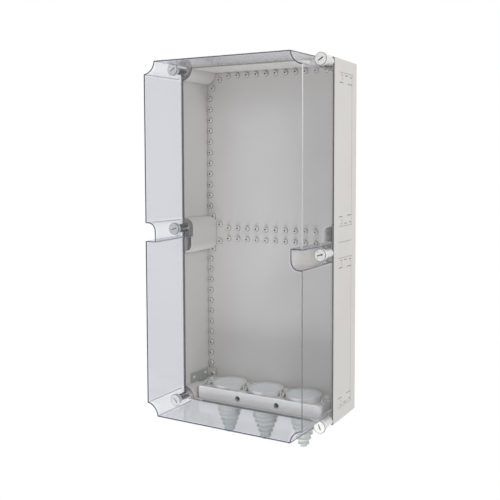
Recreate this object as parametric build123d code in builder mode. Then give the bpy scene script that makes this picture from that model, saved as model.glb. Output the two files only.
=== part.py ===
from build123d import *

import math
import os

# Wall-mounted electrical enclosure. A deep clear cover is held on an opaque tub by six
# quarter-turn fasteners, and a cable flange with stepped grommets stands in the tub's bottom.
# Frame in millimetres: +X right, +Y towards the wall, +Z up. The origin is the middle of the
# back, on the wall, so everything lies at Y below zero and the cover faces -Y.

# Overall sizes
width = 375.0
height = 750.0
base_depth = 115.0
cover_depth = 135.0

# Walls and drafts
base_wall = 4.0
base_draft = 1.5
cover_wall = 3.0
cover_draft = 2.0
outer_edge_r = 2.0
floor_thickness = 4.0
rear_recess = 16.0

# Notches in the cover's outline, at the joint with the base
corner_notch_r = 26.0
mid_notch_depth = 24.0
mid_notch_height = 33.0
mid_notch_start = 2.0
mid_notch_round = 14.0

# Cover fasteners
fastener_inset = 9.2
head_r = 13.0
head_thickness = 8.0
head_edge = 1.0
slot_length = 13.0
slot_width = 2.4
slot_depth = 2.2
wedge_width = 5.0
sleeve_r = 11.0
sleeve_length = 36.5
web = 4.0
foot_height = 12.0
seal_thickness = 1.2
seal_width = 1.2
head_gap = 0.3
shank_r = 9.0
shank_clearance = 0.3
tip_r = 4.9
tip_length = 14.0

# Fastener sockets and wall fixings in the base
insert_r = 7.2
insert_length = 20.0
socket_clearance = 0.3
mid_socket_depth = 45.0
fixing_r = 3.25
fixing_web = 12.0

# Seal between cover and base
groove_inset = 1.2
groove_width = 1.6
groove_depth = 2.5

# Screw bosses on the floor of the base
boss_pitch = 25.0
boss_edge = 12.5
boss_r = 4.2
boss_height = 5.0
pilot_r = 1.75
pilot_depth = 7.5
boss_sides = 8
pilot_sides = 4
boss_rows_x = 11
boss_columns_z = 11
mount_column = 10
corner_boss_near = 20.0
corner_boss_far = 38.5

# Knock-out panels in the outer walls
panel_groove = 1.2
panel_groove_depth = 0.8
panel_front = 25.0
panel_rear = 95.0
panel_line = 90.0
panel_middle_gap = 66.0
panel_end_gap = 28.0
dash_width = 1.8
dashes = ((38.0, 5.0, 8.0), (60.0, 5.0, 15.0), (84.0, 6.5, 12.0), (34.0, 20.0, 18.0), (79.0, 21.0, 24.0))
tick_place = (41.0, 12.0)
tick_length = 7.0

# Cable flange in the bottom wall
tray_length = 312.0
tray_front = 8.0
tray_rear_gap = 1.0
tray_top = 32.0
tray_wall = 3.0
tray_foot = 7.0
tray_foot_height = 6.0
tray_rim = 4.0
tray_end_r = 6.0
tray_inner_r = 1.0
cutout_margin = 9.0
flange_gasket_thickness = 2.0
flange_gasket_inset = 1.5
flange_gasket_width = 4.0
access_hole_r = 6.0
access_hole_depth = 9.0
access_hole_wall = 2.5
access_hole_x = 49.0
access_hole_z = 17.0

# Cable grommets
grommet_pitch = 95.0
collar_r = 39.0
collar_height = 11.5
grommet_r = 34.0
grommet_clearance = 0.2
membrane_thickness = 2.0
membrane_dish = 1.5
lip_r = 36.5
lip_height = 3.0
cone_top_r = 27.5
cone_tip_r = 8.0
cone_ring_taper = 1.2
cone_shoulder = 14.2
cone_step = 11.35
cone_steps = 6
cone_tip_length = 4.4
cone_wall = 2.5
tip_hole_r = 4.0

# Clamping wedges of the cable flange
wedge_block = 10.0
wedge_depth = 26.0
wedge_foot_height = 4.0
wedge_rear_depth = 9.0
wedge_rear_height = 12.5
wedge_front_depth = 8.0
wedge_front_height = 8.0
wedge_slot = 2.0
wedge_slot_depth = 4.0

# Angle brackets beside the cable flange
bracket_length = 70.0
bracket_height = 20.0
bracket_thickness = 2.0
bracket_tab = 24.0
bracket_lip = 9.0
bracket_slot_length = 12.0
bracket_slot_width = 5.0
bracket_slot_pitch = 46.0
screw_head_r = 4.6
screw_head_height = 2.8
screw_clearance = 0.05
screw_length = 6.0
screw_recess = 1.5

# Planes and places worked out from the sizes
floor_front = rear_recess + floor_thickness
boss_top = floor_front + boss_height
seam = Plane.XZ.offset(base_depth)
cover_angle = math.degrees(math.atan2(cover_draft, cover_depth))
base_angle = math.atan2(base_draft, base_depth)
mid_notch_z = mid_notch_start + mid_notch_height / 2
fastener_x = width / 2 - fastener_inset
fastener_z = height / 2 - fastener_inset
fasteners = {
    "top_left": (-fastener_x, fastener_z, 35),
    "top_right": (fastener_x, fastener_z, 32),
    "mid_left": (-fastener_x, mid_notch_z, 20),
    "mid_right": (fastener_x, -mid_notch_z, 18),
    "bottom_left": (-fastener_x, -fastener_z, -50),
    "bottom_right": (fastener_x, -fastener_z, -68),
}
column_x = width / 2 - boss_edge
mount_z = boss_pitch * (mount_column + 2.5)
fastener_points = [(x, z) for x, z, angle in fasteners.values()]
corner_points = [(x, z) for x, z in fastener_points if abs(z) == fastener_z]
mid_points = [(x, z) for x, z in fastener_points if abs(z) != fastener_z]

os.makedirs("parts", exist_ok=True)


def save(part, name):
    part.label = name
    export_step(part, f"parts/{name}.step")


def mid_notch(side, inset, start):
    """Bite at the middle of one side, left above the middle and right below it."""
    reach = mid_notch_depth + inset
    end = mid_notch_start + mid_notch_height + inset
    with BuildSketch() as notch:
        with Locations((side * width / 2, -side * (start + end) / 2)):
            Rectangle(2 * reach, end - start)
        corner = (side * (width / 2 - reach), -side * end, 0)
        fillet(notch.vertices().sort_by_distance(corner)[0], mid_notch_round + inset)
    return notch.sketch


def cover_outline(inset):
    """Outline of the cover, set in from its outer face."""
    with BuildSketch() as outline:
        Rectangle(width - 2 * inset, height - 2 * inset)
        with GridLocations(width, height, 2, 2):
            Circle(corner_notch_r + inset, mode=Mode.SUBTRACT)
        for side in (-1, 1):
            add(mid_notch(side, inset, mid_notch_start - inset), mode=Mode.SUBTRACT)
    return outline.sketch


def base_cavity():
    """Outline of the hollow of the base, between its corner and middle pillars."""
    with BuildSketch() as outline:
        Rectangle(width - 2 * base_wall, height - 2 * base_wall)
        with GridLocations(width, height, 2, 2):
            Circle(corner_notch_r + base_wall, mode=Mode.SUBTRACT)
        for side in (-1, 1):
            half = mid_notch(side, base_wall, 0)
            add(half, mode=Mode.SUBTRACT)
            add(mirror(half, about=Plane.XZ, mode=Mode.PRIVATE), mode=Mode.SUBTRACT)
    return outline.sketch


def pillar_pockets():
    """Open half of each middle pillar, on the far side of the middle from its fastener."""
    with BuildSketch() as pockets:
        for side in (-1, 1):
            half = mid_notch(side, 0, base_wall - groove_inset)
            add(mirror(half, about=Plane.XZ, mode=Mode.PRIVATE))
        Rectangle(width - 2 * base_wall, height, mode=Mode.INTERSECT)
    return pockets.sketch


def boss_places():
    """Centres of the screw bosses, on a lattice beside the walls and round the pillars."""
    places = []
    for i in range(boss_columns_z):
        z = boss_pitch * (i + 2.5)
        places += [(sx * column_x, sz * z) for sx in (-1, 1) for sz in (-1, 1)]
    for i in range(boss_rows_x):
        x = boss_pitch * (i - (boss_rows_x - 1) / 2)
        for z in (boss_pitch / 2, height / 2 - boss_edge):
            places += [(x, z), (x, -z)]
    for sx in (-1, 1):
        for sz in (-1, 1):
            for near, far in ((corner_boss_near, corner_boss_far), (corner_boss_far, corner_boss_near)):
                places.append((sx * (width / 2 - near), sz * (height / 2 - far)))
                places.append((sx * (width / 2 - near), sz * far))
    return places


def side_plane(side):
    """Plane on a drafted outer side face, x towards the wall, measured from the seam."""
    lean = math.sin(base_angle)
    flat = math.cos(base_angle)
    origin = (side * width / 2, -base_depth, 0)
    return Plane(origin=origin, x_dir=(-side * lean, flat, 0), z_dir=(side * flat, lean, 0))


def panel_marks():
    """Grooves and bridge marks of the knock-out panels in a side wall, seen from outside."""
    length = (height - panel_middle_gap) / 2 - panel_end_gap
    with BuildSketch() as marks:
        with Locations(((panel_front + panel_rear) / 2, 0)):
            Rectangle(panel_rear - panel_front, panel_groove)
        for side in (-1, 1):
            with Locations((panel_line, side * (panel_middle_gap + length) / 2)):
                Rectangle(panel_groove, length)
            for end, step in ((panel_middle_gap / 2, 1), (panel_middle_gap / 2 + length, -1)):
                with Locations(((panel_front + panel_rear) / 2, side * end)):
                    Rectangle(panel_rear - panel_front, panel_groove)
                for x, z, dash in dashes:
                    with Locations((x, side * (end + step * z))):
                        Rectangle(dash, dash_width)
                with Locations((tick_place[0], side * (end + step * tick_place[1]))):
                    Rectangle(dash_width, tick_length)
    return marks.sketch


def make_base():
    """Tub with a full rectangular rim, pillars, floor bosses and a hollow behind the floor."""
    with BuildPart() as base:
        with BuildSketch(Plane.XZ):
            RectangleRounded(width - 2 * base_draft, height - 2 * base_draft, outer_edge_r)
        with BuildSketch(seam):
            RectangleRounded(width, height, outer_edge_r)
        loft()

        # Knock-out panels in both sides
        for side in (-1, 1):
            with BuildSketch(side_plane(side).offset(-panel_groove_depth)):
                add(panel_marks())
            extrude(amount=2 * panel_groove_depth, mode=Mode.SUBTRACT)

        # Hollow down to the tops of the screw bosses, with the pockets of the middle pillars
        with BuildSketch(Plane.XZ.offset(boss_top)):
            add(base_cavity())
            add(pillar_pockets())
        extrude(amount=base_depth - boss_top, mode=Mode.SUBTRACT)

        # Sockets for the fasteners, and the wall fixings behind the corner ones
        with BuildSketch(Plane.XZ.offset(base_depth - insert_length)):
            with Locations(*fastener_points):
                RegularPolygon(insert_r, 6)
        extrude(amount=insert_length, mode=Mode.SUBTRACT)
        with BuildSketch(Plane.XZ.offset(fixing_web)):
            with Locations(*corner_points):
                Circle(tip_r + socket_clearance)
        extrude(amount=base_depth - fixing_web, mode=Mode.SUBTRACT)
        with BuildSketch(Plane.XZ):
            with Locations(*corner_points):
                Circle(fixing_r)
        extrude(amount=base_depth, mode=Mode.SUBTRACT)
        with BuildSketch(Plane.XZ.offset(base_depth - mid_socket_depth)):
            with Locations(*mid_points):
                Circle(tip_r + socket_clearance)
        extrude(amount=mid_socket_depth, mode=Mode.SUBTRACT)

        # Groove for the seal, along the cover's own rim
        with BuildSketch(Plane.XZ.offset(base_depth - groove_depth)):
            add(cover_outline(groove_inset))
            add(cover_outline(groove_inset + groove_width), mode=Mode.SUBTRACT)
        extrude(amount=groove_depth, mode=Mode.SUBTRACT)

        # Opening for the cable flange
        with BuildSketch(Plane.XY.offset(-height / 2)):
            with Locations((0, tray_y)):
                RectangleRounded(tray_length - 2 * cutout_margin, tray_depth - 2 * cutout_margin, tray_end_r)
        extrude(amount=base_wall, mode=Mode.SUBTRACT)

        # Hollow behind the floor
        with BuildSketch(Plane.XZ):
            add(base_cavity())
        extrude(amount=rear_recess, mode=Mode.SUBTRACT)

        # Floor with the screw bosses left standing on it
        with BuildSketch(Plane.XZ.offset(floor_front)):
            add(base_cavity())
            add(pillar_pockets())
            with Locations(*boss_places()):
                RegularPolygon(boss_r, boss_sides, major_radius=False, mode=Mode.SUBTRACT)
        extrude(amount=boss_height, mode=Mode.SUBTRACT)

        # Pilot holes in the bosses, round in the four that carry a mounting plate
        plain = [(x, z) for x, z in boss_places() if (abs(x), abs(z)) != (column_x, mount_z)]
        with BuildSketch(Plane.XZ.offset(boss_top - pilot_depth)):
            with Locations(*plain):
                RegularPolygon(pilot_r, pilot_sides, major_radius=False)
            with GridLocations(2 * column_x, 2 * mount_z, 2, 2):
                Circle(pilot_r)
        extrude(amount=pilot_depth, mode=Mode.SUBTRACT)
    return base.part


def make_cover():
    """Clear hood with notched corners and sides, and a sleeve in each notch."""
    with BuildPart() as cover:
        with BuildSketch(seam):
            add(cover_outline(0))
        extrude(amount=cover_depth, taper=cover_angle)
        with BuildSketch(seam):
            RectangleRounded(width, height, outer_edge_r)
        extrude(amount=foot_height, taper=cover_angle)
        with BuildSketch(seam):
            with Locations(*fastener_points):
                Circle(sleeve_r)
            for x, z in corner_points:
                inward = math.degrees(math.atan2(-z / abs(z), -x / abs(x)))
                reach = corner_notch_r + cover_wall / 2 - fastener_inset * math.sqrt(2)
                with Locations(Location((x, z, 0), inward)):
                    with Locations((reach / 2, 0)):
                        Rectangle(reach, web)
            for x, z in mid_points:
                side = x / abs(x)
                reach = mid_notch_depth + cover_wall / 2 - fastener_inset
                with Locations((x - side * reach / 2, z)):
                    Rectangle(reach, web)
                with Locations((x, z)):
                    Rectangle(web, mid_notch_height + cover_wall)
        extrude(amount=sleeve_length)
        with BuildSketch(seam):
            add(cover_outline(cover_wall))
        extrude(amount=cover_depth - cover_wall, taper=cover_angle, mode=Mode.SUBTRACT)
        with BuildSketch(seam):
            with Locations(*fastener_points):
                Circle(shank_r + shank_clearance)
        extrude(amount=sleeve_length, mode=Mode.SUBTRACT)
    return cover.part


def make_cover_gasket():
    """Seal lying in the groove of the base's rim, flush with the seam."""
    with BuildPart() as gasket:
        with BuildSketch(Plane.XZ.offset(base_depth - groove_depth)):
            add(cover_outline(groove_inset))
            add(cover_outline(groove_inset + groove_width), mode=Mode.SUBTRACT)
        extrude(amount=groove_depth)
    return gasket.part


def make_fastener(x, z, angle):
    """Quarter-turn fastener: slotted head, thick shank in the sleeve, plain tip."""
    head_back = base_depth + sleeve_length + seal_thickness + head_gap
    head_front = head_back + head_thickness
    with BuildPart() as fastener:
        with BuildSketch(Plane.XZ.offset(head_back)):
            with Locations((x, z)):
                Circle(head_r)
        extrude(amount=head_thickness)
        chamfer(fastener.faces().sort_by(Axis.Y)[0].edges(), head_edge)
        with BuildSketch(Plane.XZ.offset(head_front - slot_depth)):
            with Locations(Location((x, z, 0), angle)):
                Rectangle(slot_length, slot_width)
                with Locations((slot_length / 4, 0)):
                    RegularPolygon(wedge_width / 2, 3)
        extrude(amount=slot_depth, mode=Mode.SUBTRACT)
        with BuildSketch(seam):
            with Locations((x, z)):
                Circle(shank_r)
        extrude(amount=head_back - base_depth)
        with BuildSketch(Plane.XZ.offset(base_depth - tip_length)):
            with Locations((x, z)):
                Circle(tip_r)
        extrude(amount=tip_length)
    return fastener.part


def make_fastener_seals():
    """Flat ring on the front of each sleeve, under the fastener's head."""
    with BuildPart() as seals:
        with BuildSketch(Plane.XZ.offset(base_depth + sleeve_length)):
            with Locations(*fastener_points):
                Circle(shank_r + shank_clearance + seal_width)
                Circle(shank_r + shank_clearance, mode=Mode.SUBTRACT)
        extrude(amount=seal_thickness)
    return seals.part


def make_socket_inserts():
    """Metal bush in each socket of the base, which the fastener's tip enters."""
    with BuildPart() as inserts:
        with BuildSketch(Plane.XZ.offset(base_depth - insert_length)):
            with Locations(*fastener_points):
                RegularPolygon(insert_r, 6)
                Circle(tip_r + socket_clearance, mode=Mode.SUBTRACT)
        extrude(amount=insert_length)
    return inserts.part


# Places of the cable flange
tray_rear = boss_top + tray_rear_gap
tray_depth = base_depth - tray_front - tray_rear
tray_y = -(base_depth - tray_front + tray_rear) / 2
wall_inside_z = -height / 2 + base_wall
tray_top_z = -height / 2 + tray_top
deck_z = tray_top_z - tray_rim
collar_top_z = deck_z + collar_height
grommet_places = [(i * grommet_pitch, tray_y) for i in (-1, 0, 1)]
wedge_end_x = tray_length / 2 - tray_wall - wedge_block / 2
wedge_places_x = (-wedge_end_x, -grommet_pitch / 2, grommet_pitch / 2, wedge_end_x)


def tray_outline(inset):
    """Outline of the tray, set in from its outer face."""
    corner_r = max(tray_end_r - inset, tray_inner_r)
    with BuildSketch() as outline:
        with Locations((0, tray_y)):
            RectangleRounded(tray_length - 2 * inset, tray_depth - 2 * inset, corner_r)
    return outline.sketch


def make_flange_tray():
    """Inverted tray over the opening, with a raised collar round each grommet."""
    hollow_depth = deck_z - tray_wall - wall_inside_z
    front = base_depth - tray_front
    holes = [(side * access_hole_x, access_hole_z - height / 2) for side in (-1, 1)]
    with BuildPart() as tray:
        with BuildSketch(Plane.XY.offset(wall_inside_z)):
            add(tray_outline(0))
        extrude(amount=tray_top_z - wall_inside_z)
        chamfer(tray.faces().sort_by(Axis.Z)[-1].edges(), tray_wall / 3)
        with BuildSketch(Plane.XY.offset(deck_z)):
            add(tray_outline(tray_wall))
        extrude(amount=tray_rim, mode=Mode.SUBTRACT)

        # Hollow below the deck, over a wider foot that holds the seal
        with BuildSketch(Plane.XY.offset(wall_inside_z + tray_foot_height)):
            add(tray_outline(tray_wall))
        extrude(amount=hollow_depth - tray_foot_height, mode=Mode.SUBTRACT)
        with BuildSketch(Plane.XY.offset(wall_inside_z)):
            add(tray_outline(tray_foot))
        extrude(amount=tray_foot_height, mode=Mode.SUBTRACT)
        with BuildSketch(Plane.XY.offset(wall_inside_z)):
            add(tray_outline(flange_gasket_inset))
            add(tray_outline(flange_gasket_inset + flange_gasket_width), mode=Mode.SUBTRACT)
        extrude(amount=flange_gasket_thickness, mode=Mode.SUBTRACT)

        # Blind holes in the front, each with its own wall behind it
        with BuildSketch(Plane.XZ.offset(front - access_hole_depth - access_hole_wall)):
            with Locations(*holes):
                Circle(access_hole_r + access_hole_wall)
        extrude(amount=access_hole_depth)
        with BuildSketch(Plane.XZ.offset(front - access_hole_depth)):
            with Locations(*holes):
                Circle(access_hole_r)
        extrude(amount=access_hole_depth, mode=Mode.SUBTRACT)

        # Collars
        with BuildSketch(Plane.XY.offset(deck_z)):
            with Locations(*grommet_places):
                Circle(collar_r)
        extrude(amount=collar_height)
        with BuildSketch(Plane.XY.offset(deck_z - tray_wall)):
            with Locations(*grommet_places):
                Circle(grommet_r + grommet_clearance)
        extrude(amount=collar_height + tray_wall, mode=Mode.SUBTRACT)
    return tray.part


def make_flange_gasket():
    """Flat seal in the tray's foot, against the bottom wall."""
    with BuildPart() as gasket:
        with BuildSketch(Plane.XY.offset(wall_inside_z)):
            add(tray_outline(flange_gasket_inset))
            add(tray_outline(flange_gasket_inset + flange_gasket_width), mode=Mode.SUBTRACT)
        extrude(amount=flange_gasket_thickness)
    return gasket.part


def make_grommet(x, y):
    """Rubber grommet: dished membrane in the collar over a hollow stepped cone."""
    top = collar_top_z - membrane_thickness / 2
    lip_top = deck_z - tray_wall
    shoulder = -height / 2 - cone_shoulder
    tip_z = shoulder - (cone_steps - 1) * cone_step - cone_tip_length
    outside = [(grommet_r, top), (grommet_r, lip_top), (lip_r, lip_top), (lip_r, lip_top - lip_height)]
    outside += [(cone_top_r - cone_ring_taper, lip_top - lip_height)]
    for i in range(cone_steps):
        r = cone_top_r + (cone_tip_r - cone_top_r) * i / (cone_steps - 1)
        if i:
            outside += [(r - cone_ring_taper, shoulder - i * cone_step)]
        outside += [(r, max(shoulder - (i + 1) * cone_step, tip_z))]
    hollow = [(tip_hole_r, tip_z), (tip_hole_r, tip_z + cone_wall)]
    hollow += [(cone_tip_r - cone_wall, tip_z + cone_wall)]
    throat_r = cone_top_r - cone_wall - cone_ring_taper
    hollow += [(throat_r, shoulder), (throat_r, top - 2 * membrane_thickness)]
    hollow += [(0, top - membrane_thickness - membrane_dish)]
    with BuildPart() as grommet:
        with BuildSketch(Plane.XZ):
            with BuildLine():
                Polyline(*outside, *hollow, (0, top - membrane_dish), close=True)
            make_face()
        revolve(axis=Axis.Z)
    return Pos(x, y, 0) * grommet.part


def make_flange_wedges():
    """Clamps of the flange between the collars and at both ends: a tall block behind a low one."""
    rear_y = tray_y + (wedge_depth - wedge_rear_depth) / 2
    front_y = tray_y - (wedge_depth - wedge_front_depth) / 2
    slot_floor = wedge_rear_height - wedge_slot_depth
    blocks = (
        (tray_y, wedge_block, wedge_depth, 0.0, wedge_foot_height, Mode.ADD),
        (rear_y, wedge_block, wedge_rear_depth, 0.0, wedge_rear_height, Mode.ADD),
        (front_y, wedge_block, wedge_front_depth, 0.0, wedge_front_height, Mode.ADD),
        (rear_y, wedge_block, wedge_slot, slot_floor, wedge_rear_height, Mode.SUBTRACT),
        (front_y, wedge_slot, wedge_front_depth, wedge_foot_height, wedge_front_height, Mode.SUBTRACT),
    )
    with BuildPart() as wedges:
        for y, across, deep, low, high, mode in blocks:
            with BuildSketch(Plane.XY.offset(deck_z + low)):
                with Locations(*[(x, y) for x in wedge_places_x]):
                    Rectangle(across, deep)
            extrude(amount=high - low, mode=mode)
    return wedges.part


# Places of the brackets
bracket_x = width / 2 - base_wall
bracket_z = -height / 2 + corner_boss_far
screw_x = width / 2 - corner_boss_near


def make_bracket(side):
    """Angle bracket on a side wall, with two slots, a lower lip and a tab on a floor boss."""
    wall_x = side * bracket_x
    inner_x = wall_x - side * bracket_thickness
    tab_front = boss_top + bracket_thickness
    low_z = bracket_z - bracket_height / 3
    with BuildPart() as bracket:
        with BuildSketch(Plane.YZ.offset(min(wall_x, inner_x))):
            with Locations((-boss_top - bracket_length / 2, low_z + bracket_height / 2)):
                Rectangle(bracket_length, bracket_height)
                with GridLocations(bracket_slot_pitch, 0, 2, 1):
                    SlotOverall(bracket_slot_length, bracket_slot_width, mode=Mode.SUBTRACT)
        extrude(amount=bracket_thickness)
        with BuildSketch(Plane.XZ.offset(boss_top)):
            with Locations((wall_x - side * bracket_tab / 2, low_z + bracket_height / 2)):
                Rectangle(bracket_tab, bracket_height)
            with Locations((side * screw_x, bracket_z)):
                Circle(pilot_r + socket_clearance, mode=Mode.SUBTRACT)
        extrude(amount=bracket_thickness)
        with BuildSketch(Plane.XY.offset(low_z)):
            with Locations((wall_x - side * bracket_lip / 2, -tab_front - bracket_length / 3)):
                Rectangle(bracket_lip, bracket_length / 2)
        extrude(amount=bracket_thickness)
    return bracket.part


def make_bracket_screws():
    """Pan-head screws that hold the brackets' tabs on the floor bosses."""
    tab_front = boss_top + bracket_thickness
    places = [(side * screw_x, bracket_z) for side in (-1, 1)]
    with BuildPart() as screws:
        with BuildSketch(Plane.XZ.offset(tab_front)):
            with Locations(*places):
                Circle(screw_head_r)
        extrude(amount=screw_head_height)
        chamfer(screws.faces().group_by(Axis.Y)[0].edges(), screw_head_height / 3)
        with BuildSketch(Plane.XZ.offset(tab_front + screw_head_height - screw_recess)):
            with Locations(*places):
                Rectangle(screw_head_r, screw_head_r / 5)
                Rectangle(screw_head_r / 5, screw_head_r)
        extrude(amount=screw_recess, mode=Mode.SUBTRACT)
        with BuildSketch(Plane.XZ.offset(boss_top - screw_length)):
            with Locations(*places):
                Circle(pilot_r - screw_clearance)
        extrude(amount=screw_length + bracket_thickness)
    return screws.part


save(make_base(), "base")
save(make_cover(), "cover")
save(make_cover_gasket(), "cover_gasket")
for place, (x, z, angle) in fasteners.items():
    save(make_fastener(x, z, angle), f"fastener_{place}")
save(make_fastener_seals(), "fastener_seals")
save(make_socket_inserts(), "socket_inserts")
save(make_flange_tray(), "flange_tray")
save(make_flange_gasket(), "flange_gasket")
for place, (x, y) in zip(("left", "centre", "right"), grommet_places):
    save(make_grommet(x, y), f"cable_grommet_{place}")
save(make_flange_wedges(), "flange_wedges")
for place, side in (("left", -1), ("right", 1)):
    save(make_bracket(side), f"bracket_{place}")
save(make_bracket_screws(), "bracket_screws")
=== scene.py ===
import math

import bpy
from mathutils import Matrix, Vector


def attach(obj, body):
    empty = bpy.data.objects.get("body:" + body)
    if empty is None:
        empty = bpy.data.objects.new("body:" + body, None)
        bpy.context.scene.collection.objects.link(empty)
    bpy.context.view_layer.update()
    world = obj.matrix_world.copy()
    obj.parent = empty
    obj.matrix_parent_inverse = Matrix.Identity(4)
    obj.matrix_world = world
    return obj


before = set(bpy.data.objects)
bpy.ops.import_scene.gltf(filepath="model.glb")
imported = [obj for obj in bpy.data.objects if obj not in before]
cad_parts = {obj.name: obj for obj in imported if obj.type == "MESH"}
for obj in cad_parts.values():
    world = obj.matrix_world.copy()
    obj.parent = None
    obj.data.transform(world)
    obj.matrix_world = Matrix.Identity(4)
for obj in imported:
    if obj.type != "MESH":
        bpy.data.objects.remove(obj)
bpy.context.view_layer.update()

# Outline of the tub and the cover in metres, as in the model
half_w = 0.1875
half_h = 0.375
base_depth = 0.115
base_draft = 0.0015
cover_depth = 0.135
cover_draft = 0.002
seam_y = -base_depth
front_y = seam_y - cover_depth
floor_y = -0.020

# Notches of the cover, and pockets in the middle pillars of the tub
corner_r = 0.026
mid_reach = 0.024
mid_start = 0.002
mid_end = 0.035
mid_round = 0.014
foot_height = 0.012
foot_y = seam_y - foot_height
pocket_start = 0.0029
pocket_wall = 0.0043

# Screw bosses on the floor of the tub
boss_pitch = 0.025
boss_edge = 0.0125
boss_height = 0.005
boss_column_count = 11
boss_column_start = 2.5
boss_row_half = 5
corner_boss_near = 0.020
corner_boss_far = 0.0385

# Knock-out panels in the side walls, each dash with its depth, its offset from the end and its length
panel_front = 0.025
panel_rear = 0.095
panel_line = 0.090
panel_middle = 0.033
panel_end = 0.347
panel_groove = 0.0012
dash_width = 0.0018
dashes = ((0.038, 0.005, 0.008), (0.060, 0.005, 0.015), (0.084, 0.0065, 0.012),
          (0.034, 0.020, 0.018), (0.079, 0.021, 0.024))
tick_depth = 0.041
tick_offset = 0.012
tick_length = 0.007

# Fasteners
fastener_inset = 0.0092
mid_fastener_z = 0.0185
head_y = -0.161
head_r = 0.013
shank_r = 0.009
slot_length = 0.013
wedge_r = 0.0025

# Tray of the cable flange, with the two blind holes in its front
tray_half = 0.156
tray_end_r = 0.006
tray_front_y = -0.107
tray_top_z = -0.343
deck_z = -0.347
hole_x = 0.049
hole_z = -0.358
hole_r = 0.006
hole_depth = 0.009

# Clamps between the collars, each step with the start and end of its depth and its height
clamp_end_x = 0.148
clamp_half = 0.005
clamp_rear = (-0.0625, -0.0535, 0.0125)
clamp_front = (-0.0795, -0.0715, 0.008)
clamp_slot = 0.002
clamp_foot = 0.004

# Angle brackets, with the place of the right one's screw
bracket_wall_x = 0.1835
bracket_slots_y = (-0.083, -0.037)
bracket_slot_z = -0.3332
bracket_slot_length = 0.012
bracket_slot_width = 0.005
bracket_tab_y = -0.0272
bracket_screw = (0.1675, -0.0298, -0.3365)

# Stepped cones of the grommets
grommet_pitch = 0.095
grommet_y = -0.0665
cone_shoulder_z = -0.3892
cone_step = 0.01135
cone_rings = 5
cone_top_r = 0.0275
cone_ring_less = 0.0039

# Places of the fasteners, with the turn of each slot in degrees
fastener_x = half_w - fastener_inset
fastener_z = half_h - fastener_inset
fasteners = {
    "top_left": (-fastener_x, fastener_z, 35),
    "top_right": (fastener_x, fastener_z, 32),
    "mid_left": (-fastener_x, mid_fastener_z, 20),
    "mid_right": (fastener_x, -mid_fastener_z, 18),
    "bottom_left": (-fastener_x, -fastener_z, -50),
    "bottom_right": (fastener_x, -fastener_z, -68),
}

# Lines along the edges of the clear moulding
line_r = 0.0012
running_line_r = 0.00096
thin_line_r = 0.0006
far_seam_r = 0.0026
line_inset = 0.0013
highlight_line_z = (0.17, 0.34)

# Marks, and pieces painted with shade or light, and how far they lie off the surface that carries them
skin = 0.0001
mark_gap = 0.0003
mark_sink = 0.0005
slot_sink = 0.0004
bracket_back_gap = 0.0008
tray_highlight_r = 0.0010
tray_highlight_sink = 0.0004
pocket_highlight_r = 0.0009
pocket_highlight_sink = 0.0002

# Details of the fasteners
slot_fill = 0.0013
slot_fill_depths = (0.0003, 0.0009)
head_tick_rise = 0.0002
head_tick_r = (0.0083, 0.0091)
head_tick_starts = (100, 190)
head_tick_turn = 6
head_tick_steps = 4
rib_first_y = -0.148
rib_pitch = 0.0045
rib_count = 6
rib_half = 0.0009
rib_crest_half = 0.0005
rib_rise = 0.0002

# Steps of the round forms, and the angle past which an edge stays sharp
corner_steps = 12
mid_steps = 8
small_steps = 24
turn_steps = 40
bead_steps = 48
ring_steps = 64
sharp_angle = math.radians(35)

# Grain of the surfaces, with each scale in patches per metre
drift_scale = 9.0
flow_scale = 60.0
grain_height = 0.0002
# How far the painted shade in folds reaches, and the blend into colour painted as light
fold_shade_reach = 0.006
lit_zone_blend = 0.0002
bloom_scale = 160.0
streak_scale = 3000.0
streak_stretch = (1, 14, 1)
streak_height = 0.0001
line_drift_scale = 30.0

# Clear moulding: slants for its tint, share of mirror, and distances from a fastener for the notch tint
tint_drift_scale = 5.0
ripple_scale = 14.0
ripple_height = 0.001
slant_range = (0.15, 0.55)
mirror_share = (0.034, 0.9)
mirror_power = 5.0
mirror_colour = (0.9, 0.9, 0.9, 1)
mirror_roughness = 0.06
notch_fade = (0.019, 0.026)

# Floor and surroundings
stage_reach = 6.0
stage_z = -1.8
world_colour = (0.975, 0.98, 1.0, 1)
world_strength = 0.60

# Lamps, each with its place, the point that it looks at, its size and its power
lamps = {
    "key": ((2.3, -1.6, 1.4), (0, -0.1, 0.05), 0.9, 37),
    "left": ((-1.7, -2.2, 1.5), (0, -0.1, 0.1), 1.6, 8),
    "low": ((-0.1, -0.65, -1.65), (0, -0.06, 0.37), 1.0, 31),
}

# Camera, with its angles in degrees
camera_place = (0.8164, -1.4843, 0.1658)
camera_down = 3.752
camera_turn = 28.562
camera_sensor = 36.0
camera_lens = 53.8
camera_shift_x = -0.0666
camera_shift_y = -0.0784


def material(name):
    """An empty node material with its tree, ready for shaders."""
    made = bpy.data.materials.new(name)
    made.use_nodes = True
    tree = made.node_tree
    tree.nodes.clear()
    return made, tree


def node(tree, kind, **values):
    """A node with its inputs or settings given by name."""
    made = tree.nodes.new(kind)
    for key, value in values.items():
        if key in made.inputs:
            made.inputs[key].default_value = value
        else:
            setattr(made, key, value)
    return made


def feed(tree, made, terms):
    """Give a node's inputs their values in order, each a socket or a constant."""
    for entry, term in zip(made.inputs, terms):
        if isinstance(term, bpy.types.NodeSocket):
            tree.links.new(term, entry)
        else:
            entry.default_value = term


def number_math(tree, operation, *terms):
    """The result of one operation on numbers."""
    made = node(tree, "ShaderNodeMath", operation=operation)
    feed(tree, made, terms)
    return made.outputs["Value"]


def vector_math(tree, operation, *terms):
    """The result of one operation on vectors, a number for a length and otherwise a vector."""
    made = node(tree, "ShaderNodeVectorMath", operation=operation)
    feed(tree, made, terms)
    return made.outputs["Value" if operation == "LENGTH" else "Vector"]


def axes(tree, vector):
    """The three numbers of a vector, by the names of its axes."""
    made = node(tree, "ShaderNodeSeparateXYZ")
    tree.links.new(vector, made.inputs["Vector"])
    return made.outputs


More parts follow.
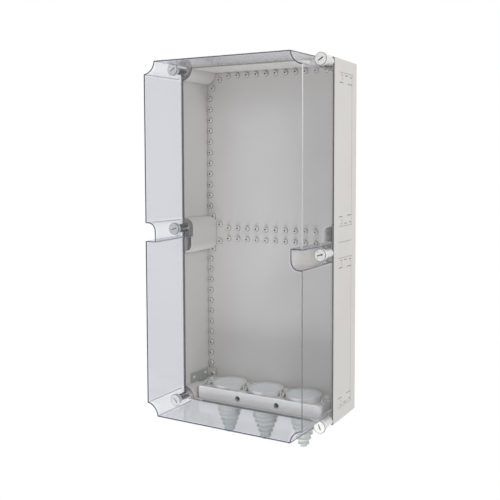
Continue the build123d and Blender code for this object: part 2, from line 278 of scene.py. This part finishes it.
def noise(tree, coords, scale, detail=2.0, stretch=(1, 1, 1)):
    """Noise in object space, one over scale metres across, and longer along an axis by its stretch."""
    mapping = node(tree, "ShaderNodeMapping")
    mapping.inputs["Scale"].default_value = [scale / s for s in stretch]
    made = node(tree, "ShaderNodeTexNoise", Scale=1.0, Detail=detail)
    tree.links.new(coords.outputs["Object"], mapping.inputs["Vector"])
    tree.links.new(mapping.outputs["Vector"], made.inputs["Vector"])
    return made.outputs["Fac"]


def ranged(tree, factor, low, high, start=0.0, end=1.0):
    """A socket that runs from low to high while factor runs from start to end."""
    made = node(tree, "ShaderNodeMapRange", clamp=True)
    tree.links.new(factor, made.inputs["Value"])
    for key, value in (("From Min", start), ("From Max", end), ("To Min", low), ("To Max", high)):
        made.inputs[key].default_value = value
    return made.outputs["Result"]


def mixed(tree, factor, low, high):
    """Colour between low and high by a factor socket."""
    made = node(tree, "ShaderNodeMix", data_type="RGBA")
    tree.links.new(factor, made.inputs["Factor"])
    for slot, value in (("A", low), ("B", high)):
        socket = [s for s in made.inputs if s.name == slot and s.type == "RGBA"][0]
        if isinstance(value, bpy.types.NodeSocket):
            tree.links.new(value, socket)
        else:
            socket.default_value = (*value, 1)
    return [s for s in made.outputs if s.type == "RGBA"][0]


def mixed_shaders(tree, factor, first, second):
    """Shader between first and second by a factor, which is a socket or a constant."""
    made = node(tree, "ShaderNodeMixShader")
    feed(tree, made, (factor, first, second))
    return made.outputs["Shader"]


def relief(tree, height, strength, distance):
    """Normal of a surface whose bumps follow a socket."""
    made = node(tree, "ShaderNodeBump", Strength=strength, Distance=distance)
    tree.links.new(height, made.inputs["Height"])
    return made.outputs["Normal"]


def finish_tree(tree, shader, kind="ShaderNodeOutputMaterial"):
    """Lead a shader to the output of its tree."""
    out = node(tree, kind)
    tree.links.new(shader, out.inputs["Surface"])


def moulding(name, pale, dark, roughness=0.42, grain=2600.0, bump=0.12, shade=None, specular=0.4, lit_zone=None):
    """Satin surface with a slow drift of colour and a fine grain.

    The colour given as shade is painted into its folds as shade. The last argument gives an axis, a place
    along it and a lighter colour painted past there as light.
    """
    made, tree = material(name)
    coords = node(tree, "ShaderNodeTexCoord")
    drift = noise(tree, coords, drift_scale, 3.0)
    fine = noise(tree, coords, grain, 4.0)
    flow = noise(tree, coords, flow_scale)
    colour = mixed(tree, ranged(tree, drift, 0, 1, 0.3, 0.7), dark, pale)
    if shade:
        # Painted shade: the colour darkens towards the shade colour in folds and creases
        fold = node(tree, "ShaderNodeAmbientOcclusion", samples=4, Distance=fold_shade_reach)
        colour = mixed(tree, ranged(tree, fold.outputs["AO"], 0, 1, 0.25, 0.8), shade, colour)
    # Painted light: past a place along an axis the colour turns lighter, for the part that catches more
    # light
    if lit_zone:
        axis, start, other = lit_zone
        place = axes(tree, coords.outputs["Object"])[axis]
        colour = mixed(tree, ranged(tree, place, 0, 1, start - lit_zone_blend, start), colour, other)
    shader = node(tree, "ShaderNodeBsdfPrincipled")
    shader.inputs["Specular IOR Level"].default_value = specular
    tree.links.new(colour, shader.inputs["Base Color"])
    rough = ranged(tree, flow, roughness - 0.05, roughness + 0.05, 0.35, 0.65)
    tree.links.new(rough, shader.inputs["Roughness"])
    tree.links.new(relief(tree, fine, bump, grain_height), shader.inputs["Normal"])
    finish_tree(tree, shader.outputs["BSDF"])
    return made


def brushed(name, pale, dark, roughness=0.3):
    """Plated or turned metal with fine streaks."""
    made, tree = material(name)
    coords = node(tree, "ShaderNodeTexCoord")
    streaks = noise(tree, coords, streak_scale, 3.0, streak_stretch)
    bloom = noise(tree, coords, bloom_scale, 3.0)
    shader = node(tree, "ShaderNodeBsdfPrincipled", Metallic=1.0)
    colour = mixed(tree, ranged(tree, bloom, 0, 1, 0.35, 0.65), dark, pale)
    tree.links.new(colour, shader.inputs["Base Color"])
    rough = ranged(tree, streaks, roughness - 0.08, roughness + 0.1, 0.3, 0.7)
    tree.links.new(rough, shader.inputs["Roughness"])
    tree.links.new(relief(tree, streaks, 0.15, streak_height), shader.inputs["Normal"])
    finish_tree(tree, shader.outputs["BSDF"])
    return made


def near_notches(tree, place):
    """One near the fasteners, where the cover's walls and sleeves lie close together, otherwise zero.

    The height times the sign of X is the same at both middle fasteners, so one point stands for the two.
    """
    corner = vector_math(tree, "SUBTRACT", vector_math(tree, "ABSOLUTE", place), (fastener_x, 0, fastener_z))
    corner = vector_math(tree, "MULTIPLY", corner, (1, 0, 1))
    side = axes(tree, vector_math(tree, "SIGN", place))["X"]
    parts = axes(tree, place)
    folded = node(tree, "ShaderNodeCombineXYZ")
    tree.links.new(number_math(tree, "ABSOLUTE", parts["X"]), folded.inputs["X"])
    tree.links.new(number_math(tree, "MULTIPLY", side, parts["Z"]), folded.inputs["Z"])
    middle = vector_math(tree, "SUBTRACT", folded.outputs["Vector"], (fastener_x, 0, -mid_fastener_z))
    reaches = [vector_math(tree, "LENGTH", way) for way in (corner, middle)]
    return ranged(tree, number_math(tree, "MINIMUM", *reaches), 1, 0, *notch_fade)


def clear_moulding(name, tint, slant_tint, notch_tint):
    """Clear polished plastic, with one tint face on, one at a slant, and one near the fasteners.

    Each face lets the light straight through, tinted, and mirrors a little, more at a slant.
    """
    made, tree = material(name)
    coords = node(tree, "ShaderNodeTexCoord")
    normal = relief(tree, noise(tree, coords, ripple_scale, 1.0), 0.05, ripple_height)
    weight = node(tree, "ShaderNodeLayerWeight", Blend=0.5)
    tree.links.new(normal, weight.inputs["Normal"])
    slant = weight.outputs["Facing"]
    paler = [min(1.0, t * 1.02) for t in tint]
    colour = mixed(tree, noise(tree, coords, tint_drift_scale, 1.0), tint, paler)
    colour = mixed(tree, ranged(tree, slant, 0, 1, *slant_range), colour, slant_tint)
    colour = mixed(tree, near_notches(tree, coords.outputs["Object"]), colour, notch_tint)
    through = node(tree, "ShaderNodeBsdfTransparent")
    tree.links.new(colour, through.inputs["Color"])
    mirror = node(tree, "ShaderNodeBsdfGlossy", Roughness=mirror_roughness, Color=mirror_colour)
    tree.links.new(normal, mirror.inputs["Normal"])
    share = ranged(tree, number_math(tree, "POWER", slant, mirror_power), *mirror_share)
    finish_tree(tree, mixed_shaders(tree, share, through.outputs["BSDF"], mirror.outputs["BSDF"]))
    return made


def line_look(name, colour, share, fade=None):
    """Line painted along an edge of the clear moulding: dark where light runs a long way inside it, and pale
    as a painted highlight.

    share is how much it covers. With fade it covers a quarter of that up to the first height and all of
    it from the second.
    """
    made, tree = material(name)
    coords = node(tree, "ShaderNodeTexCoord")
    paler = [min(1.0, c * 1.25) for c in colour]
    drift = noise(tree, coords, line_drift_scale)
    body = node(tree, "ShaderNodeBsdfPrincipled", Roughness=0.15)
    tree.links.new(mixed(tree, drift, colour, paler), body.inputs["Base Color"])
    through = node(tree, "ShaderNodeBsdfTransparent")
    if fade:
        height = axes(tree, coords.outputs["Object"])["Z"]
        share = ranged(tree, height, share / 4, share, *fade)
    finish_tree(tree, mixed_shaders(tree, share, through.outputs["BSDF"], body.outputs["BSDF"]))
    return made


def add_object(name, data):
    """An object of this data in the scene."""
    made = bpy.data.objects.new(name, data)
    bpy.context.scene.collection.objects.link(made)
    return made


def add_piece(name, data, look, body):
    """A new piece of the enclosure with its look, riding on a body, with its material slot."""
    piece = add_object(name, data)
    data.materials.append(look)
    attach(piece, body)


def add_mesh(name, verts, faces, look, body, smooth=True):
    """A new piece from points and faces."""
    mesh = bpy.data.meshes.new(name)
    mesh.from_pydata(verts, [], faces)
    mesh.validate()
    if smooth:
        mesh.shade_smooth()
        mesh.set_sharp_from_angle(angle=sharp_angle)
    add_piece(name, mesh, look, body)


def turned(profile, centres, axis, steps):
    """Points and faces of a profile of (radius, reach) turned about an axis through each centre.

    The reach runs towards the front about axis y, and upwards about axis z.
    """
    verts = []
    faces = []
    for centre in centres:
        start = len(verts)
        for radius, reach in profile:
            for i in range(steps):
                angle = math.tau * i / steps
                a = radius * math.cos(angle)
                b = radius * math.sin(angle)
                offset = (a, -reach, b) if axis == "y" else (a, b, reach)
                verts.append([c + o for c, o in zip(centre, offset)])
        for ring in range(len(profile) - 1):
            near = start + ring * steps
            far = near + steps
            for i in range(steps):
                j = (i + 1) % steps
                faces.append((near + i, near + j, far + j, far + i))
    return verts, faces


def add_turned(name, profile, centres, look, body, steps=turn_steps):
    """A new piece of one profile turned about the Y axis through each centre."""
    verts, faces = turned(profile, centres, "y", steps)
    add_mesh(name, verts, faces, look, body)


def add_faces(name, rows, look, body):
    """A new piece of flat faces, each given by its corners."""
    verts = []
    faces = []
    for corners in rows:
        faces.append(tuple(range(len(verts), len(verts) + len(corners))))
        verts += corners
    add_mesh(name, verts, faces, look, body, smooth=False)


def add_lines(name, paths, radius, look, body="cover"):
    """A new piece of round lines, one through each path of points."""
    curve = bpy.data.curves.new(name, "CURVE")
    curve.dimensions = "3D"
    curve.bevel_depth = radius
    curve.bevel_resolution = 3
    curve.use_fill_caps = True
    for points in paths:
        spline = curve.splines.new("POLY")
        spline.points.add(len(points) - 1)
        for point, place in zip(spline.points, points):
            point.co = (*place, 1)
    add_piece(name, curve, look, body)


def upright(x0, x1, z0, z1, y):
    """Corners of a rectangle that faces the front."""
    return [(x0, y, z0), (x1, y, z0), (x1, y, z1), (x0, y, z1)]


def level(x0, x1, y0, y1, z):
    """Corners of a level rectangle."""
    return [(x0, y0, z), (x1, y0, z), (x1, y1, z), (x0, y1, z)]


def cover_inset(y):
    """How far the drafted outer face of the cover stands in from the box at a depth."""
    return cover_draft * (seam_y - y) / (seam_y - front_y)


def corner_arc(sx, sz, inset, y):
    """Notch at one corner, from the side wall to the top or bottom wall."""
    r = corner_r + inset
    lean = math.asin(inset / r)
    points = []
    for i in range(corner_steps + 1):
        angle = lean + (math.pi / 2 - 2 * lean) * i / corner_steps
        points.append((sx * (half_w - r * math.sin(angle)), y, sz * (half_h - r * math.cos(angle))))
    return points


def mid_path(side, inset, y):
    """Notch at the middle of one side, from the middle of the height outwards."""
    far = half_w - mid_reach - inset
    r = mid_round + inset
    end = mid_end + inset
    points = [(half_w - inset, mid_start - inset), (far, mid_start - inset)]
    for i in range(mid_steps + 1):
        angle = math.pi / 2 * i / mid_steps
        points.append((far + r * (1 - math.cos(angle)), end - r * (1 - math.sin(angle))))
    points.append((half_w - inset, end))
    return [(side * x, y, -side * z) for x, z in points]


# Materials
# The base and the tray darken towards their shade colours in folds as painted shade
base_look = moulding("base_moulding", (0.70, 0.68, 0.64), (0.67, 0.65, 0.61), shade=(0.36, 0.34, 0.30))
tray_look = moulding("tray_moulding", (0.78, 0.77, 0.735), (0.74, 0.73, 0.695), shade=(0.30, 0.29, 0.26))
head_look = moulding("fastener_moulding", (0.80, 0.80, 0.77), (0.76, 0.76, 0.73), 0.35, 3200.0, 0.08)
rib_look = moulding("fastener_rib", (0.80, 0.80, 0.78), (0.72, 0.72, 0.71), 0.3, 3200.0, 0.08)
# Near-black painted shade in the slots of the fasteners' heads
slot_shade_look = moulding("fastener_slot_shade", (0.045, 0.045, 0.04), (0.03, 0.03, 0.025), 0.7)
faint_look = moulding("fastener_faint_mark", (0.42, 0.42, 0.38), (0.36, 0.36, 0.33), 0.6)
ring_look = moulding("fastener_ring", (0.085, 0.085, 0.09), (0.065, 0.065, 0.07), 0.5, specular=0.15)
# Near-black painted shade for the bottoms of holes, slots and recesses
hole_shade_look = moulding("hole_painted_shade", (0.022, 0.022, 0.019), (0.014, 0.014, 0.012), 0.8, specular=0.05)
# Dark floors of the knock-out dashes and grooves as painted shade
dash_shade_look = moulding("panel_dash_shade", (0.27, 0.255, 0.22), (0.22, 0.21, 0.18), 0.7)
groove_shade_look = moulding("panel_groove", (0.44, 0.43, 0.39), (0.39, 0.38, 0.345), 0.7)
# Pocket lining painted pale as light, where the deep pocket would lie in shade
pocket_light_look = moulding("pocket_painted_light", (0.93, 0.92, 0.89), (0.90, 0.89, 0.86))
# Boss rims painted paler than the floor as a highlight, and boss feet painted dark as shade
rim_highlight_look = moulding("boss_rim_highlight", (0.80, 0.79, 0.76), (0.76, 0.75, 0.72))
boss_shade_look = moulding("boss_foot_shade", (0.38, 0.37, 0.34), (0.33, 0.32, 0.295), 0.7, specular=0.1)
seal_look = moulding("seal", (0.075, 0.075, 0.085), (0.05, 0.05, 0.06), 0.6, 1800.0, 0.25)
# Grommet rubber, with painted shade in its folds and painted light above the deck, where its tops face the
# lamps
rubber_look = moulding("grommet_rubber", (0.56, 0.595, 0.585), (0.52, 0.555, 0.545), 0.5, 1500.0, 0.15,
                       shade=(0.26, 0.29, 0.30), lit_zone=("Z", deck_z, (0.80, 0.84, 0.82)))
# Bracket metal, painted lighter past the tab's place as painted light, where the tab catches the key lamp
bracket_look = moulding("bracket_metal", (0.37, 0.41, 0.375), (0.32, 0.36, 0.33), 0.4, 2400.0, 0.1,
                        specular=0.7, lit_zone=("Y", bracket_tab_y, (0.60, 0.585, 0.54)))
# Pale painted light for the wall behind the bracket slots and the tray's front edge
painted_light_look = moulding("painted_light_patch", (0.95, 0.95, 0.92), (0.92, 0.92, 0.89))
# Darker walls of blind holes as painted shade
hole_wall_shade_look = moulding("hole_wall_shade", (0.42, 0.415, 0.39), (0.37, 0.365, 0.34), 0.6)
screw_look = brushed("screw_metal", (0.66, 0.66, 0.63), (0.52, 0.52, 0.50))
brass_look = brushed("brass", (0.72, 0.56, 0.27), (0.58, 0.43, 0.20))
cover_look = clear_moulding("clear_cover", (0.912, 0.915, 0.930), (0.880, 0.884, 0.898),
                            (0.985, 0.986, 0.994))
dark_line = line_look("clear_edge_dark", (0.050, 0.044, 0.115), 0.85)
soft_line = line_look("clear_edge_soft", (0.20, 0.20, 0.225), 0.5)
# Pale lines are painted highlights, where a lamp's reflection falls on the rounded edges
highlight_line = line_look("clear_edge_highlight", (0.86, 0.87, 0.90), 0.75, highlight_line_z)
glint_line = line_look("clear_edge_glint", (0.93, 0.93, 0.95), 0.8)
haze_line = line_look("clear_edge_haze", (0.30, 0.30, 0.39), 0.4)
seam_line = line_look("clear_edge_seam", (0.045, 0.05, 0.055), 0.85)
far_seam_line = line_look("clear_edge_far_seam", (0.15, 0.15, 0.165), 0.45)


def dress_nodes():
    """Give every node of the model its material."""
    looks = {
        "base": base_look, "cover": cover_look, "cover_gasket": seal_look, "fastener_seals": seal_look,
        "socket_inserts": brass_look, "flange_tray": tray_look, "flange_gasket": seal_look,
        "flange_wedges": tray_look, "bracket_left": bracket_look, "bracket_right": bracket_look,
        "bracket_screws": screw_look,
    }
    for place in ("left", "centre", "right"):
        looks[f"cable_grommet_{place}"] = rubber_look
    for place in fasteners:
        looks[f"fastener_{place}"] = head_look
    for name, look in looks.items():
        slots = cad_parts[name].data.materials
        slots.clear()
        slots.append(look)


def boss_centres():
    """Feet of the screw bosses: columns at the sides, rows at the ends and middle, pairs by the pillars."""
    centres = []
    column_x = half_w - boss_edge
    for sx in (-1, 1):
        for sz in (-1, 1):
            for i in range(boss_column_count):
                centres.append((sx * column_x, floor_y, sz * boss_pitch * (i + boss_column_start)))
            for near, far in ((corner_boss_near, corner_boss_far), (corner_boss_far, corner_boss_near)):
                centres.append((sx * (half_w - near), floor_y, sz * (half_h - far)))
                centres.append((sx * (half_w - near), floor_y, sz * far))
    for i in range(-boss_row_half, boss_row_half + 1):
        for z in (boss_pitch / 2, half_h - boss_edge):
            centres += [(i * boss_pitch, floor_y, z), (i * boss_pitch, floor_y, -z)]
    return centres


def make_bosses():
    """Ring of painted shade round the foot, round moulded rim painted paler as a highlight, and pilot hole
    painted dark as shade, of each screw boss.
    """
    top = boss_height
    foot = [(0.0064, 0.0001), (0.0060, 0.0003), (0.0050, 0.0003), (0.0046, 0.0008)]
    rim = [(0.0047, 0.0006), (0.0046, top - 0.0001), (0.0043, top + 0.0003), (0.0034, top + 0.0004),
           (0.0030, top), (0.0026, top - 0.0005)]
    bore = [(0.0029, top + 0.0001), (0.0027, top - 0.0001), (0.0018, top - 0.0004), (0.0001, top - 0.0005)]
    centres = boss_centres()
    for name, profile, look in (("boss_foot_shades", foot, boss_shade_look), ("boss_rims", rim, rim_highlight_look),
                                ("boss_pilot_hole_shades", bore, hole_shade_look)):
        add_turned(name, profile, centres, look, "base", small_steps)


def wall_marks(name, marks, look):
    """Marks on both drafted side walls, each from (depth, length, z, height) about its middle."""
    rows = []
    for side in (-1, 1):
        for middle, length, z, tall in marks:
            corners = []
            for depth, up in ((-1, -1), (1, -1), (1, 1), (-1, 1)):
                d = middle + depth * length / 2
                x = half_w - base_draft * d / base_depth - mark_sink
                corners.append((side * x, seam_y + d, z + up * tall / 2))
            rows.append(corners)
    add_faces(name, rows, look, "base")


def make_panel_marks():
    """Floors of the knock-out grooves and bridge marks in the side walls, painted dark as shade."""
    middle = (panel_front + panel_rear) / 2
    across = panel_rear - panel_front
    grooves = [(middle, across, 0, panel_groove)]
    bridges = []
    for side in (-1, 1):
        line_z = side * (panel_middle + panel_end) / 2
        grooves.append((panel_line, panel_groove, line_z, panel_end - panel_middle))
        for end, step in ((panel_middle, 1), (panel_end, -1)):
            grooves.append((middle, across, side * end, panel_groove))
            for depth, offset, length in dashes:
                bridges.append((depth, length, side * (end + step * offset), dash_width))
            bridges.append((tick_depth, dash_width, side * (end + step * tick_offset), tick_length))
    wall_marks("panel_groove_shades", grooves, groove_shade_look)
    wall_marks("panel_bridge_shades", bridges, dash_shade_look)


def on_head(place, u, v, depth):
    """Point behind the face of a fastener's head, u along its slot and v across it."""
    x, z, angle = fasteners[place]
    turn = math.radians(angle)
    return (x + u * math.cos(turn) - v * math.sin(turn), head_y + depth,
            z + u * math.sin(turn) + v * math.cos(turn))


def make_head_ring(place):
    """Dark ring round the edge of a fastener's head."""
    x, z = fasteners[place][:2]
    ring = [(head_r - 0.0001, -0.0016), (head_r, -0.0009), (head_r - 0.0001, -0.0002),
            (head_r - 0.0005, 0.0001), (head_r - 0.0008, 0.0001), (head_r - 0.0010, -0.0003)]
    add_turned(f"head_ring_{place}", ring, [(x, head_y, z)], ring_look, f"fastener_{place}",
               ring_steps)


def make_slot_fill(place):
    """Dark fill of the slot in a fastener's head and of the wedge in the slot, painted as shade."""
    reach = slot_length / 2 - skin
    side = slot_fill / 2
    tip = slot_length / 4 + wedge_r - skin
    back = slot_length / 4 - wedge_r / 2 + skin
    wide = wedge_r * math.sin(math.radians(60)) - skin
    outline = [(-reach, -side), (back, -side), (back, -wide), (tip, -side), (reach, -side),
               (reach, side), (tip, side), (back, wide), (back, side), (-reach, side)]
    verts = [on_head(place, u, v, depth) for depth in slot_fill_depths for u, v in outline]
    count = len(outline)
    faces = [tuple(range(count))]
    faces += [(i, (i + 1) % count, (i + 1) % count + count, i + count) for i in range(count)]
    add_mesh(f"head_slot_shade_{place}", verts, faces, slot_shade_look, f"fastener_{place}",
             smooth=False)


def make_head_ticks(place):
    """Two faint arcs on a fastener's head, a quarter turn apart."""
    verts = []
    faces = []
    for start in head_tick_starts:
        for i in range(head_tick_steps + 1):
            a = math.radians(start + head_tick_turn * i)
            for r in head_tick_r:
                verts.append(on_head(place, r * math.cos(a), r * math.sin(a), -head_tick_rise))
            if i:
                n = len(verts)
                faces.append((n - 4, n - 3, n - 1, n - 2))
    add_mesh(f"head_ticks_{place}", verts, faces, faint_look, f"fastener_{place}",
             smooth=False)


def make_shank_ribs(place):
    """Low ribs round a fastener's shank."""
    x, z = fasteners[place][:2]
    foot = shank_r - rib_rise
    crest = shank_r + rib_rise
    rib = [(foot, -rib_half), (crest, -rib_crest_half), (crest, rib_crest_half), (foot, rib_half)]
    centres = [(x, rib_first_y + rib_pitch * i, z) for i in range(rib_count)]
    add_turned(f"shank_ribs_{place}", rib, centres, rib_look, f"fastener_{place}")


def side_edges(side, inset, y):
    """Straight edges of one side of the cover's front, below and above its notch."""
    bottom = corner_arc(side, -1, inset, y)[0]
    top = corner_arc(side, 1, inset, y)[0]
    notch = mid_path(side, inset, y)
    lower, upper = sorted((notch[0], notch[-1]), key=lambda point: point[2])
    return [bottom, lower], [upper, top]


def make_front_lines():
    """Lines round the front of the cover, dark all round but for the right edge, which is paler, and a
    painted highlight above its notch.
    """
    inset = cover_inset(front_y) + line_inset
    y = front_y + line_inset
    outline = []
    for sx in (-1, 1):
        for sz in (-1, 1):
            outline.append(corner_arc(sx, sz, inset, y))
        outline.append(mid_path(sx, inset, y))
    for sz in (-1, 1):
        outline.append([corner_arc(sx, sz, inset, y)[-1] for sx in (-1, 1)])
    add_lines("cover_front_lines", outline, line_r, dark_line)
    add_lines("cover_left_lines", side_edges(-1, inset, y), line_r, dark_line)
    right_lower, right_upper = side_edges(1, inset, y)
    add_lines("cover_side_lines", [right_lower], line_r, soft_line)
    add_lines("cover_bright_line", [right_upper], line_r, highlight_line)

    # The painted glint follows the right notch inside its dark line and leaves out both ends
    lit = mid_path(1, inset + 2 * line_r, y)[2:-3]
    add_lines("cover_glint", [lit], thin_line_r, glint_line)


def make_seam_lines():
    """Dark lines along the cover's joint with the tub, partly the gasket and partly painted shade in the
    gap, broad and soft where they are seen through the cover.
    """
    foot = seam_y - line_inset
    for name, sx, look, r in (("cover_seam_left", -1, far_seam_line, far_seam_r),
                              ("cover_seam_right", 1, seam_line, line_r)):
        x = sx * (half_w - r)
        seam = [(x, foot, -half_h + line_inset), (x, foot, half_h - line_inset)]
        add_lines(name, [seam], r, look)
    low = far_seam_r - half_h
    reach = half_w - 2 * corner_r
    add_lines("cover_seam_bottom", [[(-reach, foot, low), (reach, foot, low)]], far_seam_r, far_seam_line)
    inner = 2 * far_seam_r - half_w
    end = half_h - corner_r
    add_lines("cover_seam_edge", [[(inner, foot, -end), (inner, foot, end)]], thin_line_r, soft_line)


def make_running_lines():
    """Lines that run from the front of the cover back along its notches.

    They are dark round the right notch and where the right corners meet the top and bottom walls, and
    hazy elsewhere.
    """
    front = (cover_inset(front_y) + line_inset, front_y + line_inset)
    back = (cover_inset(foot_y) + line_inset, foot_y)
    dark = []
    hazy = []
    for sx in (-1, 1):
        for sz in (-1, 1):
            for end in (0, -1):
                edges = dark if sx > 0 and end == -1 else hazy
                edges.append([corner_arc(sx, sz, *plane)[end] for plane in (front, back)])
        for end in (0, 1, -1):
            edges = dark if sx > 0 else hazy
            edges.append([mid_path(sx, *plane)[end] for plane in (front, back)])
    add_lines("cover_running_lines", dark, running_line_r, dark_line)
    add_lines("cover_haze_lines", hazy, line_r, haze_line)


def make_tray_marks():
    """Painted highlight along the front edge of the tray, and dark linings of its two blind holes as painted
    shade.
    """
    end = tray_half - tray_end_r
    edge = [(x, tray_front_y + tray_highlight_sink, tray_top_z - tray_highlight_sink) for x in (-end, end)]
    add_lines("tray_front_highlight", [edge], tray_highlight_r, painted_light_look, "base")
    centres = [(side * hole_x, tray_front_y, hole_z) for side in (-1, 1)]
    wall = [(hole_r - skin, 0.0), (hole_r - skin, 2 * skin - hole_depth)]
    add_turned("tray_hole_wall_shades", wall, centres, hole_wall_shade_look, "base")
    bottom = [(hole_r - skin, 3 * skin - hole_depth), (skin, 3 * skin - hole_depth)]
    add_turned("tray_hole_end_shades", bottom, centres, hole_shade_look, "base")


def make_clamp_slots():
    """Slots in the steps of the four clamps, painted dark as shade."""
    slots = []
    half = clamp_slot / 2
    for x in (-clamp_end_x, -grommet_pitch / 2, grommet_pitch / 2, clamp_end_x):
        low, high, top = clamp_rear
        middle = (low + high) / 2
        rear_z = deck_z + top - slot_sink
        slots.append(level(x - clamp_half, x + clamp_half, middle - half, middle + half, rear_z))
        low, high, top = clamp_front
        slots.append(level(x - half, x + half, low, high, deck_z + top - slot_sink))
        slots.append(upright(x - half, x + half, deck_z + clamp_foot, deck_z + top, low + mark_gap))
    add_faces("clamp_slot_shades", slots, hole_shade_look, "base")


def make_bracket_marks():
    """Wall behind the slots of the brackets painted pale as light against the plate's shade, and the recess
    of each screw painted dark as shade.
    """
    backs = []
    recesses = []
    end_r = bracket_slot_width / 2
    straight = (bracket_slot_length - bracket_slot_width) / 2
    screw_x, screw_y, screw_z = bracket_screw
    for side in (-1, 1):
        for y in bracket_slots_y:
            face = []
            for i in range(turn_steps):
                angle = math.tau * i / turn_steps
                shift = math.copysign(straight, math.cos(angle))
                face.append((side * (bracket_wall_x - bracket_back_gap), y + shift + end_r * math.cos(angle),
                             bracket_slot_z + end_r * math.sin(angle)))
            backs.append(face)
        recesses.append((side * screw_x, screw_y, screw_z))
    add_faces("bracket_slot_lit_backs", backs, painted_light_look, "base")
    recess = [(0.0022, 0.0003), (0.0016, 0.0001), (0.0001, 0.0001)]
    add_turned("bracket_screw_recess_shades", recess, recesses, hole_shade_look, "base", small_steps)


def make_pocket_details():
    """Painted highlight round the mouth of each middle pillar's pocket, and a pale lining of its wall and
    floor painted as light.
    """
    mouth_highlights = []
    linings = []
    front = seam_y + mark_sink
    back = floor_y - mark_gap
    rim_x = half_w - pocket_wall
    for side in (-1, 1):
        mouth = [(x, seam_y + pocket_highlight_sink, -z) for x, y, z in mid_path(side, 0, seam_y)]
        mouth_highlights.append(mouth[1:-1])
        wall = [(x, max(abs(z), pocket_start) * side) for x, y, z in mid_path(side, -mark_gap, 0)[1:-1]]
        for (x0, z0), (x1, z1) in zip(wall, wall[1:]):
            linings.append([(x0, front, z0), (x1, front, z1), (x1, back, z1), (x0, back, z0)])
        bottom = [(side * rim_x, wall[0][1])] + wall + [(side * rim_x, wall[-1][1])]
        linings.append([(x, back, z) for x, z in bottom])
    add_lines("pocket_mouth_highlights", mouth_highlights, pocket_highlight_r, rim_highlight_look, "base")
    add_faces("pocket_lit_linings", linings, pocket_light_look, "base")


def make_cone_beads():
    """Rounded bead at the lower edge of each step of the grommets."""
    for place, i in (("left", -1), ("centre", 0), ("right", 1)):
        verts = []
        faces = []
        for ring in range(cone_rings):
            r = cone_top_r - cone_ring_less * ring
            low = cone_shoulder_z - (ring + 1) * cone_step
            bead = [(r - 0.0006, low + 0.0042), (r + 0.0002, low + 0.0036), (r + 0.0007, low + 0.0024),
                    (r + 0.0008, low + 0.0012), (r + 0.0004, low + 0.0003), (r - 0.0004, low)]
            ring_verts, ring_faces = turned(bead, [(i * grommet_pitch, grommet_y, 0)], "z", bead_steps)
            faces += [tuple(k + len(verts) for k in face) for face in ring_faces]
            verts += ring_verts
        add_mesh(f"cone_beads_{place}", verts, faces, rubber_look, "base")


def seen(tree):
    """One for rays from the camera, off a mirror or through glass, otherwise zero."""
    path = node(tree, "ShaderNodeLightPath").outputs
    first = number_math(tree, "MAXIMUM", path["Is Camera Ray"], path["Is Glossy Ray"])
    return number_math(tree, "MAXIMUM", first, path["Is Transmission Ray"])


def make_floor():
    """Pale floor far below the wall-mounted part, white where it is seen."""
    made, tree = material("pale_floor")
    coords = node(tree, "ShaderNodeTexCoord")
    lit = node(tree, "ShaderNodeBsdfDiffuse")
    drift = mixed(tree, noise(tree, coords, 2.0), (0.88, 0.88, 0.88), (0.9, 0.9, 0.9))
    tree.links.new(drift, lit.inputs["Color"])
    bright = node(tree, "ShaderNodeEmission", Strength=1.0)
    finish_tree(tree, mixed_shaders(tree, seen(tree), lit.outputs["BSDF"], bright.outputs["Emission"]))
    mesh = bpy.data.meshes.new("floor")
    corners = level(-stage_reach, stage_reach, -stage_reach, stage_reach, stage_z)
    mesh.from_pydata(corners, [], [(0, 1, 2, 3)])
    mesh.materials.append(made)
    add_object("floor", mesh)


def make_world():
    """Soft light from all around, seen as plain white."""
    world = bpy.data.worlds.new("studio")
    bpy.context.scene.world = world
    world.use_nodes = True
    tree = world.node_tree
    tree.nodes.clear()
    soft = node(tree, "ShaderNodeBackground", Color=world_colour, Strength=world_strength)
    white = node(tree, "ShaderNodeBackground", Color=(1, 1, 1, 1), Strength=1.0)
    shader = mixed_shaders(tree, seen(tree), soft.outputs["Background"], white.outputs["Background"])
    finish_tree(tree, shader, "ShaderNodeOutputWorld")


def make_lamp(name, place, aim, size, power):
    """Square soft lamp that looks at a point."""
    data = bpy.data.lights.new(name, "AREA")
    data.shape = "SQUARE"
    data.size = size
    data.energy = power
    lamp = add_object(name, data)
    lamp.location = place
    towards = Vector(aim) - Vector(place)
    lamp.rotation_euler = towards.to_track_quat("-Z", "Y").to_euler()


def make_camera():
    """Camera at the photograph's angle and distance."""
    data = bpy.data.cameras.new("camera")
    data.sensor_width = camera_sensor
    data.lens = camera_lens
    data.shift_x = camera_shift_x
    data.shift_y = camera_shift_y
    camera = add_object("camera", data)
    camera.location = camera_place
    camera.rotation_euler = (math.radians(90 - camera_down), 0, math.radians(camera_turn))
    bpy.context.scene.camera = camera


make_camera()
make_floor()
make_world()
for name, values in lamps.items():
    make_lamp(name, *values)
dress_nodes()
make_bosses()
make_panel_marks()
for place in fasteners:
    make_head_ring(place)
    make_slot_fill(place)
    make_head_ticks(place)
    make_shank_ribs(place)
make_front_lines()
make_seam_lines()
make_running_lines()
make_tray_marks()
make_clamp_slots()
make_bracket_marks()
make_pocket_details()
make_cone_beads()
bpy.context.scene.view_settings.view_transform = "Standard"
